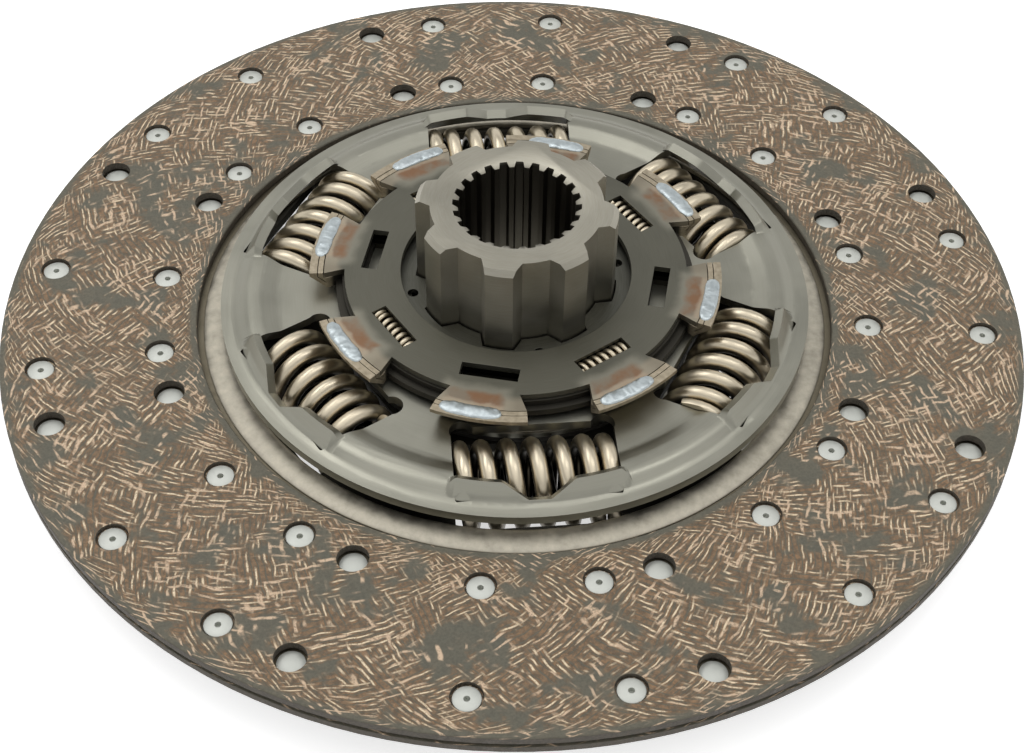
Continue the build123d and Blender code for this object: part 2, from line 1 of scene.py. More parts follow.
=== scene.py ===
# %% [markdown] # Truck clutch disc The solids of this disc are already made to size. Here
# each piece gets the finish of the real one.

# %% Load the solids
import bisect
import bmesh
import bpy
import json
from math import atan2, cos, hypot, radians, sin, tau
from mathutils import Matrix, Vector

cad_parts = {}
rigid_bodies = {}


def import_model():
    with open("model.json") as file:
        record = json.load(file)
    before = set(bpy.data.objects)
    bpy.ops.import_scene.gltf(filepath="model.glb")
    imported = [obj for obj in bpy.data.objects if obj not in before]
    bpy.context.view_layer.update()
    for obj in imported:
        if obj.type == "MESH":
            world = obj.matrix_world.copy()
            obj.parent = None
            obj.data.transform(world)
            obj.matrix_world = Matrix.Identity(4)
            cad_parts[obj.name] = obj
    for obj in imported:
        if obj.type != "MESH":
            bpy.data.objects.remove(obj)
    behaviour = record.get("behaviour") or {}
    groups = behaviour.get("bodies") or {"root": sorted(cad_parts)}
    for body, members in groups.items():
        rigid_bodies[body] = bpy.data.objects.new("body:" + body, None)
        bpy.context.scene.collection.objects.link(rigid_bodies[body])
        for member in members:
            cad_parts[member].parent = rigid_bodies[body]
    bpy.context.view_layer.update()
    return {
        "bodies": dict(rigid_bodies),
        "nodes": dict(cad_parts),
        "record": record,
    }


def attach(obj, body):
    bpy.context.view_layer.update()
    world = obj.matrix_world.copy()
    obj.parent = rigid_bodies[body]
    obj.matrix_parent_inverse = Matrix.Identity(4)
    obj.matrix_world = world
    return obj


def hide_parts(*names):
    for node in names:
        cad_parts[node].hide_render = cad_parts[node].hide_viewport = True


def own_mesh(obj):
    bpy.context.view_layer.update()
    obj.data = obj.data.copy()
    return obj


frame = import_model()

# %% [markdown]
# The sizes that several steps share stand here in metres, and the others stand where they are
# first needed. Heights are measured from the mid-plane between the two facings, which lies one hub
# foot above the floor. Angles run anticlockwise from the X axis, seen from above.

# %% Sizes
MM = 0.001
MID_Z = 26.0 * MM
WINDOWS = 6
FIRST_WINDOW, WINDOW_PITCH = radians(91.1), radians(60)
SPRING_CIRCLE_R, SPRING_Z = 95.1 * MM, MID_Z - 2.45 * MM
CAGE_ANGLE, TAB_PITCH = radians(31.5), radians(45)
scene = bpy.context.scene

# %% [markdown]
# The camera looks down at 47 degrees with a medium long lens, a little off its centre line.
# Its place was solved from the circles of the disc, so it is written as numbers. A camera could
# also be aimed at an empty, but a matrix keeps the exact roll.

# %% Camera
LENS_PIXELS, IMAGE_WIDTH, IMAGE_CENTRE_X, AXIS_X = 1812.32, 1024, 512, 553
TILT, ROLL, TURN = 0.82523, 0.037061, radians(-5.85)
DISTANCE, SIDE, RISE = 780.10 * 0.993 * MM, -16.046 * 0.993 * MM, 31.777 * 0.993 * MM
RIVET_PLANE_Z = MID_Z + 3.3 * MM

turn = Matrix.Rotation(TURN, 3, "Z")
back = turn @ Vector((0, -cos(TILT), sin(TILT)))
right = turn @ Vector((1, 0, 0))
above = back.cross(right)
level_right = cos(ROLL) * right + sin(ROLL) * above
level_up = cos(ROLL) * above - sin(ROLL) * right
place = back * DISTANCE - level_right * SIDE - level_up * RISE + Vector((0, 0, RIVET_PLANE_Z))
orientation = Matrix((level_right, level_up, back)).transposed().to_4x4()

lens_data = bpy.data.cameras.new("studio_camera")
lens_data.sensor_width = 36
lens_data.lens = LENS_PIXELS * lens_data.sensor_width / IMAGE_WIDTH
lens_data.shift_x = (IMAGE_CENTRE_X - AXIS_X) / IMAGE_WIDTH
camera = bpy.data.objects.new("studio_camera", lens_data)
camera.matrix_world = Matrix.Translation(place) @ orientation
scene.collection.objects.link(camera)
scene.camera = camera
scene.view_settings.view_transform = "Standard"
print("lens mm:", round(lens_data.lens, 2), "camera at", [round(v, 3) for v in place])

# %% [markdown]
# Materials and geometry trees are both built from nodes. These helpers add one node each, take
# numbers or sockets, and give back the result's socket, so that a pattern reads as a formula.

# %% Number helpers

def put(tree, value, socket):
    """Link a socket, or write a plain value."""
    if isinstance(value, bpy.types.NodeSocket):
        tree.links.new(value, socket)
    else:
        socket.default_value = value


def calc(tree, operation, *values):
    """One Math node."""
    node = tree.nodes.new("ShaderNodeMath")
    node.operation = operation
    for value, socket in zip(values, node.inputs):
        put(tree, value, socket)
    return node.outputs[0]


def plus(tree, first, *others):
    """Sum of two or more values."""
    for other in others:
        first = calc(tree, "ADD", first, other)
    return first


def minus(tree, first, second):
    """Difference of two values."""
    return calc(tree, "SUBTRACT", first, second)


def times(tree, first, *others):
    """Product of two or more values."""
    for other in others:
        first = calc(tree, "MULTIPLY", first, other)
    return first


def length(tree, x, y):
    """Length of the slope over two legs."""
    return calc(tree, "SQRT", plus(tree, times(tree, x, x), times(tree, y, y)))


def step(tree, value, low, high, out_low=0.0, out_high=1.0):
    """Smooth step of a value between two limits."""
    node = tree.nodes.new("ShaderNodeMapRange")
    node.interpolation_type = "SMOOTHSTEP"
    for name, number in (("Value", value), ("From Min", low), ("From Max", high),
                         ("To Min", out_low), ("To Max", out_high)):
        put(tree, number, node.inputs[name])
    return node.outputs[0]


print("number helpers:", [f.__name__ for f in (put, calc, plus, minus, times, length, step)])

# %% [markdown]
# Places, noise and colours need a node of their own kind. Screen colours are easier to choose
# than linear ones, so one helper turns the first into the second.

# %% Place, noise and colour helpers

def point(tree, x, y, z):
    """Three numbers as a vector."""
    node = tree.nodes.new("ShaderNodeCombineXYZ")
    for value, socket in zip((x, y, z), node.inputs):
        put(tree, value, socket)
    return node.outputs[0]


def parts(tree, vector):
    """X, Y and Z of a vector."""
    node = tree.nodes.new("ShaderNodeSeparateXYZ")
    put(tree, vector, node.inputs[0])
    return node.outputs[0], node.outputs[1], node.outputs[2]


def noise(tree, vector, scale, detail, roughness=0.5):
    """Soft noise from 0 to 1."""
    node = tree.nodes.new("ShaderNodeTexNoise")
    for name, value in (("Vector", vector), ("Scale", scale), ("Detail", detail), ("Roughness", roughness)):
        put(tree, value, node.inputs[name])
    return node.outputs[0]


def blend_colour(tree, share, first, second):
    """Mix of two colours."""
    node = tree.nodes.new("ShaderNodeMix")
    node.data_type = "RGBA"
    put(tree, share, node.inputs[0])
    for value, socket in ((first, node.inputs[6]), (second, node.inputs[7])):
        put(tree, (*value, 1.0) if isinstance(value, tuple) else value, socket)
    return node.outputs[2]


def rgb(*screen):
    """Screen colour, 0 to 255, as the linear colour that a shader takes."""
    return tuple(((c / 255 + 0.055) / 1.055) ** 2.4 if c > 10 else c / 255 / 12.92 for c in screen)


print("mid grey of the screen in linear light:", [round(c, 3) for c in rgb(128, 128, 128)])

# %% [markdown]
# Every finish starts in the same way: a Principled shader, the object's own coordinates, and a
# bump whose height is measured in metres. Most patterns of a turned part follow its radius and angle,
# so those two come with the start.

# %% Start of a finish

class Finish:
    """One material under construction."""

    def __init__(self, name, metallic, roughness):
        self.material = bpy.data.materials.new(name)
        self.material.use_nodes = True
        self.tree = self.material.node_tree
        self.shader = self.tree.nodes["Principled BSDF"]
        self.shader.inputs["Metallic"].default_value = metallic
        self.shader.inputs["Roughness"].default_value = roughness
        self.place = self.tree.nodes.new("ShaderNodeTexCoord").outputs["Object"]
        self.x, self.y, self.z = parts(self.tree, self.place)
        self.radius = length(self.tree, self.x, self.y)
        self.angle = calc(self.tree, "ARCTAN2", self.y, self.x)

    def facing_up(self):
        """How far a face looks up, from -1 to 1."""
        geometry = self.tree.nodes.new("ShaderNodeNewGeometry")
        return parts(self.tree, geometry.outputs["True Normal"])[2]

    def colour(self, value):
        """Set the whole colour."""
        put(self.tree, value, self.shader.inputs["Base Color"])

    def paint(self, share, value):
        """Blend one more colour over the present one."""
        present = self.shader.inputs["Base Color"].links[0].from_socket
        self.colour(blend_colour(self.tree, share, present, value))

    def rough(self, value):
        """Set the roughness."""
        put(self.tree, value, self.shader.inputs["Roughness"])

    def bump(self, height, depth):
        """Bump from a height between 0 and 1, times a depth in metres."""
        node = self.tree.nodes.new("ShaderNodeBump")
        node.inputs["Distance"].default_value = depth
        put(self.tree, height, node.inputs["Height"])
        put(self.tree, node.outputs[0], self.shader.inputs["Normal"])


print("a finish offers:", [name for name in vars(Finish) if not name.startswith("_")])

# %% [markdown]
# The facings are wound from yarn with copper wire, pressed with resin and ground flat. The yarn
# swings between the inner and the outer edge while it goes round, so it crosses itself at
# a right angle halfway and lies along the edge at both turns. In polar terms each pass follows
# angle = start -/+ k * acos((r - middle) / swing). The two signs give the two families of strands.
# An image could show the weave, but the formula has no seam and no limit of sharpness.
# Grinding bares the top of each twist of the yarn and its copper wire, which shows as a short slanted dash.
# Its pale paint is partly painted highlight, for the glint of that bare top.

# %% One winding of yarn
FACING_INNER_R, FACING_OUTER_R = 134.5 * MM, 215.0 * MM
FACING_MIDDLE_R = (FACING_INNER_R + FACING_OUTER_R) / 2
YARN_SWING = (FACING_OUTER_R - FACING_INNER_R) / 2 * 1.03
TWISTS_PER_PASS, TWIST_SHIFT, TWIST_SLANT = 5.2, 0.37, 0.35


def yarn_family(finish, sign, seed, strands):
    """(thread, bared_glint): share of brown yarn, and of bared fibres on its top with their painted glint,
    for one winding.
    """
    tree = finish.tree
    wander = plus(tree, times(tree, noise(tree, finish.place, 24.0 + seed / 9, 1.0), 4.0),
                  times(tree, noise(tree, finish.place, 150.0, 1.0), 0.8))
    reach = calc(tree, "DIVIDE", minus(tree, finish.radius, FACING_MIDDLE_R), YARN_SWING)
    phase = calc(tree, "ARCCOSINE", calc(tree, "MAXIMUM", calc(tree, "MINIMUM", reach, 0.999), -0.999))
    start = plus(tree, finish.angle, times(tree, phase, sign * YARN_SWING / FACING_MIDDLE_R))
    along = plus(tree, phase, seed)
    strand = plus(tree, times(tree, start, strands / tau), wander)
    number = calc(tree, "FLOOR", strand)
    side = minus(tree, calc(tree, "FRACT", strand), 0.5)
    across = calc(tree, "ABSOLUTE", side)
    fibre = noise(tree, finish.place, 1100.0, 1.0)
    thread = times(tree, step(tree, across, 0.5, 0.3), step(tree, fibre, 0.3, 0.7, 0.55, 1.0))
    twists = plus(tree, times(tree, along, TWISTS_PER_PASS), times(tree, number, TWIST_SHIFT))
    twist = calc(tree, "FRACT", twists)
    slant = times(tree, minus(tree, twist, 0.5), TWIST_SLANT)
    slanted = calc(tree, "ABSOLUTE", minus(tree, side, slant))
    ends = noise(tree, point(tree, times(tree, number, 3.77), times(tree, along, 5.0), seed), 1.0, 1.0)
    tips = times(tree, step(tree, twist, 0.02, 0.14), step(tree, twist, 0.98, 0.8))
    bared = times(tree, step(tree, slanted, 0.20, 0.07), step(tree, ends, 0.44, 0.54))
    bared_glint = times(tree, bared, times(tree, tips, step(tree, fibre, 0.25, 0.55, 0.35, 1.0)))
    return thread, bared_glint


print("swing of the yarn in mm:", round(YARN_SWING / MM, 1))

# %% [markdown]
# The lining lays two full windings over dark resin, then a few strands of two more. Soft noise
# says where resin smears the yarn over and which winding lies on top. The cut edges of the facing
# show only rough resin, painted darker than the top as painted shade.

# %% Friction lining
RESIN_DARK, RESIN_LIGHT, RESIN_PIT = rgb(84, 85, 74), rgb(106, 99, 83), rgb(66, 62, 53)
YARN_DARK, YARN_LIGHT = rgb(92, 70, 47), rgb(144, 109, 74)
BARED_COPPER_GLINT, STRAY_COPPER_GLINT = rgb(232, 211, 178), rgb(214, 186, 156)
EDGE_DARK, EDGE_LIGHT = rgb(34, 31, 27), rgb(92, 84, 72)


def friction_lining():
    """Ground facing material with two windings of yarn and copper wire."""
    lining = Finish("friction_lining", 0.0, 0.6)
    tree = lining.tree
    smeared = noise(tree, lining.place, 48.0, 3.0, 0.6)
    lead = noise(tree, lining.place, 62.0, 2.0)
    grain = noise(tree, lining.place, 1000.0, 3.0)
    fuzz = noise(tree, lining.place, 420.0, 3.0, 0.7)
    resin = blend_colour(tree, noise(tree, lining.place, 130.0, 3.0), RESIN_DARK, RESIN_LIGHT)
    resin = blend_colour(tree, step(tree, grain, 0.35, 0.7, 0.0, 0.4), resin, RESIN_PIT)
    brown = blend_colour(tree, step(tree, fuzz, 0.35, 0.65), YARN_DARK, YARN_LIGHT)
    off_bore = step(tree, lining.radius, FACING_INNER_R + 2.0 * MM, FACING_INNER_R + 4.5 * MM)
    off_rim = step(tree, lining.radius, FACING_OUTER_R - 1.5 * MM, FACING_OUTER_R - 4.0 * MM)
    open_yarn = times(tree, step(tree, smeared, 0.62, 0.52), times(tree, off_bore, off_rim))
    colour, height = resin, grain
    for sign, seed, low, high in ((1, 3.1, 0.44, 0.54), (-1, 11.7, 0.56, 0.46)):
        thread, bared_glint = yarn_family(lining, sign, seed, 300)
        shown = times(tree, step(tree, lead, low, high), open_yarn)
        thread = times(tree, thread, shown)
        bared_glint = times(tree, bared_glint, shown)
        colour = blend_colour(tree, times(tree, thread, 0.85), colour, brown)
        # Bared yarn and copper, painted pale as painted highlight for their glint too.
        colour = blend_colour(tree, bared_glint, colour, BARED_COPPER_GLINT)
        height = plus(tree, height, plus(tree, thread, times(tree, bared_glint, 1.5)))
    for sign, seed in ((-1, 23.9), (1, 37.3)):
        bared_glint = yarn_family(lining, sign, seed, 180)[1]
        rare = step(tree, noise(tree, lining.place, 33.0 + seed, 2.0), 0.5, 0.58)
        bared_glint = times(tree, bared_glint, rare)
        # Stray bared strands, painted pale as painted highlight for their glint too.
        colour = blend_colour(tree, times(tree, bared_glint, 0.9), colour, STRAY_COPPER_GLINT)
        height = plus(tree, height, bared_glint)
    lining.colour(colour)
    # Rough resin with painted shade: faces that don't look up get a dark colour.
    lining.paint(step(tree, lining.facing_up(), 0.8, 0.4), blend_colour(tree, grain, EDGE_DARK, EDGE_LIGHT))
    lining.rough(step(tree, height, 0.5, 3.0, 0.66, 0.4))
    lining.bump(height, 0.15 * MM)
    return lining.material


lining = friction_lining()
print("lining nodes:", len(lining.node_tree.nodes))

# %% [markdown]
# The steel parts share one recipe: a metallic shader whose colour drifts a little, whose roughness
# has cloudy patches, and fine scratches that run round the axis. Each steel gets its own two colours,
# roughness and scale, so that pressed, turned and oxidised pieces tell apart.

# %% Steel recipe and plain steels
SCRATCH_LIGHT = rgb(235, 235, 228)


def steel(name, dark, light, roughness, scratch=0.5, patch_scale=30.0):
    """Cloudy steel with fine scratches round the axis."""
    metal = Finish(name, 1.0, roughness)
    tree = metal.tree
    cloud = noise(tree, metal.place, patch_scale, 4.0, 0.6)
    turned = noise(tree, point(tree, times(tree, metal.radius, 3000.0), times(tree, metal.angle, 6.0),
                               times(tree, metal.z, 3000.0)), 1.0, 3.0)
    grain = noise(tree, metal.place, 1800.0, 2.0)
    metal.colour(blend_colour(tree, cloud, rgb(*dark), rgb(*light)))
    metal.paint(times(tree, turned, scratch * 0.3), SCRATCH_LIGHT)
    metal.rough(plus(tree, step(tree, cloud, 0.3, 0.7, roughness - 0.05, roughness + 0.08),
                     times(tree, grain, 0.06)))
    metal.bump(plus(tree, times(tree, turned, scratch), grain), 0.01 * MM)
    return metal


pressed_steel = steel("pressed_steel", (134, 133, 121), (156, 154, 142), 0.33, 0.25).material
# Near-black painted shade for the drive plate, which lies in shade under the cover plate's rim.
drive_plate_shade_steel = steel("drive_plate_shade_steel", (44, 42, 37), (62, 60, 53), 0.5, 0.1).material
weld_metal = steel("weld_metal", (150, 160, 162), (205, 212, 214), 0.34, 0.0, 500.0).material
dark_composite = steel("dark_composite", (60, 58, 54), (78, 74, 68), 0.7).material
rivet_finish = steel("rivet_steel", (186, 188, 181), (212, 214, 207), 0.5, 0.3, 300.0)
rivet_finish.shader.inputs["Metallic"].default_value = 0.55
rivet_steel = rivet_finish.material
print("nodes in a plain steel:", len(pressed_steel.node_tree.nodes))

# %% [markdown]
# Some pieces have two finishes on one solid, split by a radius. The bore of the hub gets painted
# shade and stays dark under its bright turned end face. The flange is painted near black as shade
# where it runs under the slots of the cage. The cushion disc gets painted shade beyond the dome round its
# bore.
# One material that reads the radius is simpler here than cutting the solid into face groups.

# %% Hub, flange and cushion disc
HUB_TOP_Z = MID_Z + 60.2 * MM
HUB_BORE_R, BORE_PAINTED_SHADE = 27.2 * MM, rgb(92, 88, 78)
FLANGE_OPEN_R, SLOT_PAINTED_SHADE = 49.5 * MM, rgb(20, 19, 16)
DOME_INNER_R, DOME_OUTER_R, SHEET_PAINTED_SHADE = 121.2 * MM, 132.0 * MM, rgb(116, 109, 93)


def darken_bore(finish):
    """Painted shade inside the hub's bore, below the chamfer of its end face."""
    tree = finish.tree
    inside = step(tree, finish.radius, HUB_BORE_R, HUB_BORE_R - 1.0 * MM)
    below = step(tree, finish.z, HUB_TOP_Z - 0.5 * MM, HUB_TOP_Z - 2.5 * MM)
    # Painted shade: the deep bore is darkened in its colour.
    finish.paint(times(tree, inside, below), BORE_PAINTED_SHADE)
    return finish.material


def recolour_beyond(finish, low, high, colour):
    """Another colour past a radius, with a soft line between two radii."""
    finish.paint(step(finish.tree, finish.radius, low, high), colour)
    return finish.material


hub_steel = darken_bore(steel("hub_steel", (140, 136, 122), (160, 155, 141), 0.36, 0.6))
# Near-black painted shade on the flange past FLANGE_OPEN_R, where it lies in the dark under the cage's
# slots.
flange_steel = recolour_beyond(steel("flange_steel", (66, 66, 58), (90, 89, 80), 0.45, 0.3),
                               FLANGE_OPEN_R, FLANGE_OPEN_R + 2.0 * MM, SLOT_PAINTED_SHADE)
# Painted shade on the cushion disc past the dome, in the low band beside the facings' inner wall.
spring_sheet = recolour_beyond(steel("spring_sheet", (112, 107, 94), (226, 219, 202), 0.5, 0.1, 190.0),
                               DOME_OUTER_R - 0.6 * MM, DOME_OUTER_R + 0.2 * MM, SHEET_PAINTED_SHADE)
print("nodes in the hub's steel:", len(hub_steel.node_tree.nodes))

# %% [markdown]
# The coils of the main springs are bright on top and get painted shade inside and lower down. The finish
# measures how far each place is from the straight middle line of its spring. The angle is folded
# onto one window, so one formula serves all six springs. The inner springs lie inside the dark radius, so
# they are painted dark all over.

# %% Spring wire
COIL_PAINTED_SHADE = rgb(46, 42, 35)
COIL_SHADE_R, COIL_LIT_R = 13.0 * MM, 16.4 * MM


def shade_coil_insides(finish):
    """Painted shade in the main springs: dark towards the coil's middle and lower down."""
    tree = finish.tree
    count_from = FIRST_WINDOW - (WINDOWS + 0.5) * WINDOW_PITCH
    turn = calc(tree, "FRACT", calc(tree, "DIVIDE", minus(tree, finish.angle, count_from), WINDOW_PITCH))
    bearing = times(tree, minus(tree, turn, 0.5), WINDOW_PITCH)
    sideways = minus(tree, times(tree, finish.radius, calc(tree, "COSINE", bearing)), SPRING_CIRCLE_R)
    rise = minus(tree, finish.z, SPRING_Z)
    clean = times(tree, step(tree, length(tree, sideways, rise), COIL_SHADE_R, COIL_LIT_R),
                  step(tree, rise, -6.0 * MM, 8.0 * MM, 0.3, 1.0))
    # Painted shade: the coil's middle and lower side are darkened.
    finish.paint(minus(tree, 1.0, clean), COIL_PAINTED_SHADE)
    return finish.material


spring_wire = shade_coil_insides(steel("spring_wire", (186, 175, 153), (216, 204, 180), 0.3, 0.2, 60.0))
print("wire nodes:", len(spring_wire.node_tree.nodes))

# %% [markdown]
# Welding leaves its colours on the cage: a pale halo, brown in front of the bead, straw beside
# it. Their places repeat on the eight tabs, so the finish works with the angle from the nearest
# bead as a share of the pitch, and noise keeps the eight from looking stamped. The tab ends of the
# two sheets below are bare tan metal where they were sheared.

# %% Cage steels
BEAD_SHIFT = radians(-2.7)
SHEARED_FROM_R, SHEARED_FULL_R = 76.0 * MM, 78.0 * MM
HALO, STRAW_ENDS = rgb(140, 137, 124), rgb(172, 160, 140)
HEAT_BROWN, STRAW_EDGE = rgb(134, 102, 78), rgb(182, 170, 150)
SHEARED_DARK, SHEARED_LIGHT = rgb(126, 116, 98), rgb(196, 184, 162)


def from_bead(finish):
    """Angle from the nearest bead's middle as a share of the pitch, from -0.5 to 0.5."""
    tree = finish.tree
    share = calc(tree, "DIVIDE", minus(tree, finish.angle, CAGE_ANGLE + BEAD_SHIFT), TAB_PITCH)
    return minus(tree, calc(tree, "FRACT", plus(tree, share, 8.5)), 0.5)


def heat_tint(finish):
    """Heat colours on the cage round each weld bead."""
    tree = finish.tree
    blur = minus(tree, noise(tree, finish.place, 110.0, 3.0), 0.5)
    spread = plus(tree, calc(tree, "ABSOLUTE", from_bead(finish)), times(tree, blur, 0.12))
    r = plus(tree, finish.radius, times(tree, blur, 5.0 * MM))
    patch = step(tree, noise(tree, finish.place, 150.0, 3.0), 0.3, 0.65, 0.3, 0.95)
    for colour, share, none_at, full_at, starts, fills in (
            (HALO, 0.8, 0.30, 0.20, 66.0, 71.0), (STRAW_ENDS, 0.45, 0.16, 0.22, 72.0, 76.0),
            (HEAT_BROWN, patch, 0.22, 0.15, 70.0, 73.5), (STRAW_EDGE, 0.6, 0.22, 0.17, 76.6, 78.6)):
        zone = times(tree, step(tree, spread, none_at, full_at), step(tree, r, starts * MM, fills * MM))
        finish.paint(times(tree, zone, share), colour)
    return finish.material


def tan_tab_ends(finish):
    """Dark oxide between the tabs, and bare tan sheared metal on the tab ends."""
    streak = noise(finish.tree, finish.place, 500.0, 3.0)
    tan = blend_colour(finish.tree, streak, SHEARED_DARK, SHEARED_LIGHT)
    return recolour_beyond(finish, SHEARED_FROM_R, SHEARED_FULL_R, tan)


cage_steel = heat_tint(steel("cage_steel", (84, 83, 73), (102, 100, 89), 0.45, 0.15))
edge_steel = tan_tab_ends(steel("edge_steel", (44, 42, 37), (66, 63, 56), 0.45, 0.1))
print("cage nodes:", len(cage_steel.node_tree.nodes))

# %% [markdown]
# A solid comes as loose triangles. A copy of it is merged and its flat faces are joined. Working on
# a copy leaves the solid as it is, and larger faces take a bevel well.

# %% Clean copy of a solid

def merged_copy(node):
    """New mesh object with the node's shape, welded together and with clean flat faces."""
    mesh = frame["nodes"][node].data.copy()
    mesh.materials.clear()
    work = bmesh.new()
    work.from_mesh(mesh)
    bmesh.ops.remove_doubles(work, verts=work.verts, dist=0.002 * MM)
    bmesh.ops.dissolve_limit(work, angle_limit=radians(0.6), verts=work.verts, edges=work.edges)
    work.to_mesh(mesh)
    work.free()
    if "custom_normal" in mesh.attributes:
        mesh.attributes.remove(mesh.attributes["custom_normal"])
    piece = bpy.data.objects.new(node + "_finished", mesh)
    scene.collection.objects.link(piece)
    return piece


print("loose triangles of the cover plate:", len(frame["nodes"]["cover_plate"].data.polygons))

# %% [markdown]
# A press draws each window lip out of the guide plate's ridge, so on the real plate both ends of a lip
# rise out of the ridge in a few millimetres, while the solid's lips end square. A flat face can't
# bend, so the copy is first cut by some planes through the axis near each end of each lip.

# %% Cuts at the lip ends
LIP_HALF_ANGLE, LIP_FADE = radians(18.1), radians(2.0)
LIP_INNER_R, LIP_OUTER_R = 104.0 * MM, 119.0 * MM
FADE_CUTS = (0.12, 0.25, 0.4, 0.55, 0.7, 0.85, 1.0)


def from_window(place):
    """Number of the nearest window, and the signed angle from its middle."""
    turn = (atan2(place.y, place.x) - FIRST_WINDOW) / WINDOW_PITCH
    return round(turn) % WINDOWS, (turn - round(turn)) * WINDOW_PITCH


def cut_lip_end(work, number, end):
    """Cut the plate near one end of one lip, so that it can bend there."""
    middle = FIRST_WINDOW + number * WINDOW_PITCH
    for share in FADE_CUTS:
        angle = middle + end * (LIP_HALF_ANGLE - share * LIP_FADE)
        near = []
        for face in work.faces:
            place = face.calc_center_bounds()
            window, away = from_window(place)
            if window == number and away * end > 0 and hypot(place.x, place.y) > LIP_INNER_R:
                near.append(face)
        geom = near + list({e for f in near for e in f.edges}) + list({v for f in near for v in f.verts})
        bmesh.ops.bisect_plane(work, geom=geom, dist=1e-7, plane_co=(0, 0, 0),
                               plane_no=(-sin(angle), cos(angle), 0))


print("cuts per plate:", 2 * WINDOWS * len(FADE_CUTS))

# %% [markdown]
# Between the windows the plate's outline shows how high the ridge stands at each radius. Near the end
# of a lip, whatever stands above that ridge is lowered in a smooth curve down to it. Sculpting by
# hand would do too, but a rule gives all the ends the same shape.

# %% Soft ends of the window lips
BETWEEN_LIPS, LIP_SLACK = 0.03, 0.002


def interpolate(value, places, numbers):
    """Straight-line value between the entries of a sorted table."""
    index = min(max(bisect.bisect_left(places, value), 1), len(places) - 1)
    low, high = places[index - 1], places[index]
    share = (value - low) / (high - low) if high > low else 0.0
    return numbers[index - 1] + (numbers[index] - numbers[index - 1]) * min(max(share, 0.0), 1.0)


def soften_lips(piece):
    """Let both ends of each lip of a guide plate grow out of the ridge."""
    work = bmesh.new()
    work.from_mesh(piece.data)
    work.normal_update()
    side = 1 if max(v.co.z for v in work.verts) > MID_Z else -1
    between = [v.co for v in work.verts
               if side * v.normal.z > 0.3 and abs(from_window(v.co)[1]) > LIP_HALF_ANGLE + BETWEEN_LIPS]
    radii, heights = zip(*sorted((hypot(p.x, p.y), side * (p.z - MID_Z)) for p in between))
    for number in range(WINDOWS):
        for end in (-1, 1):
            cut_lip_end(work, number, end)
    moved = 0
    for v in work.verts:
        r = hypot(v.co.x, v.co.y)
        room = LIP_HALF_ANGLE - abs(from_window(v.co)[1])
        ridge = interpolate(r, radii, heights)
        above = side * (v.co.z - MID_Z) - ridge
        if LIP_INNER_R < r < LIP_OUTER_R and -LIP_SLACK < room < LIP_FADE and above > 0.02 * MM:
            share = max(0.0, room / LIP_FADE)
            v.co.z = MID_Z + side * (ridge + above * share * share * (3 - 2 * share))
            moved += 1
    work.to_mesh(piece.data)
    work.free()
    print("lip vertices moved:", moved)


print("each lip end rises over mm:", round(LIP_FADE * LIP_INNER_R / MM, 1))

# %% [markdown]
# The cushion disc is pressed up into a low dome round its bore, where it lies on the drive plate. The
# outline of that dome is turned once round the axis and added to the copy. Its foot is sunk in the
# sheet, so no gap shows between the two.

# %% Dome of the cushion disc
CUSHION_TOP_Z = MID_Z + 1.0 * MM
DOME_OUTLINE = ((0.0, -0.5), (0.0, 0.6), (0.5, 1.05), (1.5, 1.3), (3.3, 1.4), (5.1, 1.33), (6.9, 1.1),
                (8.6, 0.75), (10.0, 0.35), (10.8, -0.1), (10.8, -0.5))
DOME_STEPS = 192


def add_dome(piece):
    """Low dome round the bore of the cushion disc, closed and with its faces outwards."""
    work = bmesh.new()
    work.from_mesh(piece.data)
    turns = [tau * n / DOME_STEPS for n in range(DOME_STEPS)]
    loops = []
    for run, rise in DOME_OUTLINE:
        r, z = DOME_INNER_R + run * MM, CUSHION_TOP_Z + rise * MM
        loops.append([work.verts.new((r * cos(a), r * sin(a), z)) for a in turns])
    fresh = []
    for first, second in zip(loops, loops[1:] + loops[:1]):
        for n in range(DOME_STEPS):
            m = (n + 1) % DOME_STEPS
            fresh.append(work.faces.new((first[n], first[m], second[m], second[n])))
    bmesh.ops.recalc_face_normals(work, faces=fresh)
    work.to_mesh(piece.data)
    work.free()
    print("dome faces:", len(fresh))


print("dome width in mm:", round((DOME_OUTER_R - DOME_INNER_R) / MM, 1))

# %% [markdown]
# The record of the part says on which body a solid rides and which kind of material it has. A few
# pieces of one kind get a finish of their own: the drive plate is painted near black as shade, and
# the pieces of the pre-damper have steels of their own.

# %% Choose the finish of each solid
node_body = {node: body for body, nodes in frame["record"]["behaviour"]["bodies"].items() for node in nodes}
node_slot = {row["node"]: row["material_slot"] for row in frame["record"]["subparts"]}
finish_of_slot = {
    "friction_lining": lining, "rivet_steel": rivet_steel, "spring_sheet": spring_sheet,
    "pressed_steel": pressed_steel, "cage_steel": cage_steel, "weld_metal": weld_metal,
    "hub_steel": hub_steel, "spring_wire": spring_wire, "friction_composite": dark_composite,
}
finish_of_node = {"drive_plate": drive_plate_shade_steel, "predamper_base_plate": edge_steel,
                  "predamper_spacer": edge_steel, "predamper_flange": flange_steel}
for body in sorted(frame["bodies"]):
    print(body, "carries solids:", list(node_body.values()).count(body))

# %% [markdown]
# Each finished copy takes the place of its solid. Curved walls are shaded smooth, and a fine bevel
# breaks each edge as on a real pressed or machined part. A real edge always catches a thin line of
# light, and a rendered edge does so only when it has that bevel.

# %% Dress the solids
BROKEN_EDGE, SHARP_ANGLE = 0.15 * MM, radians(35)
shape_of_node = {"cover_plate": soften_lips, "lower_guide_plate": soften_lips, "cushion_disc": add_dome}


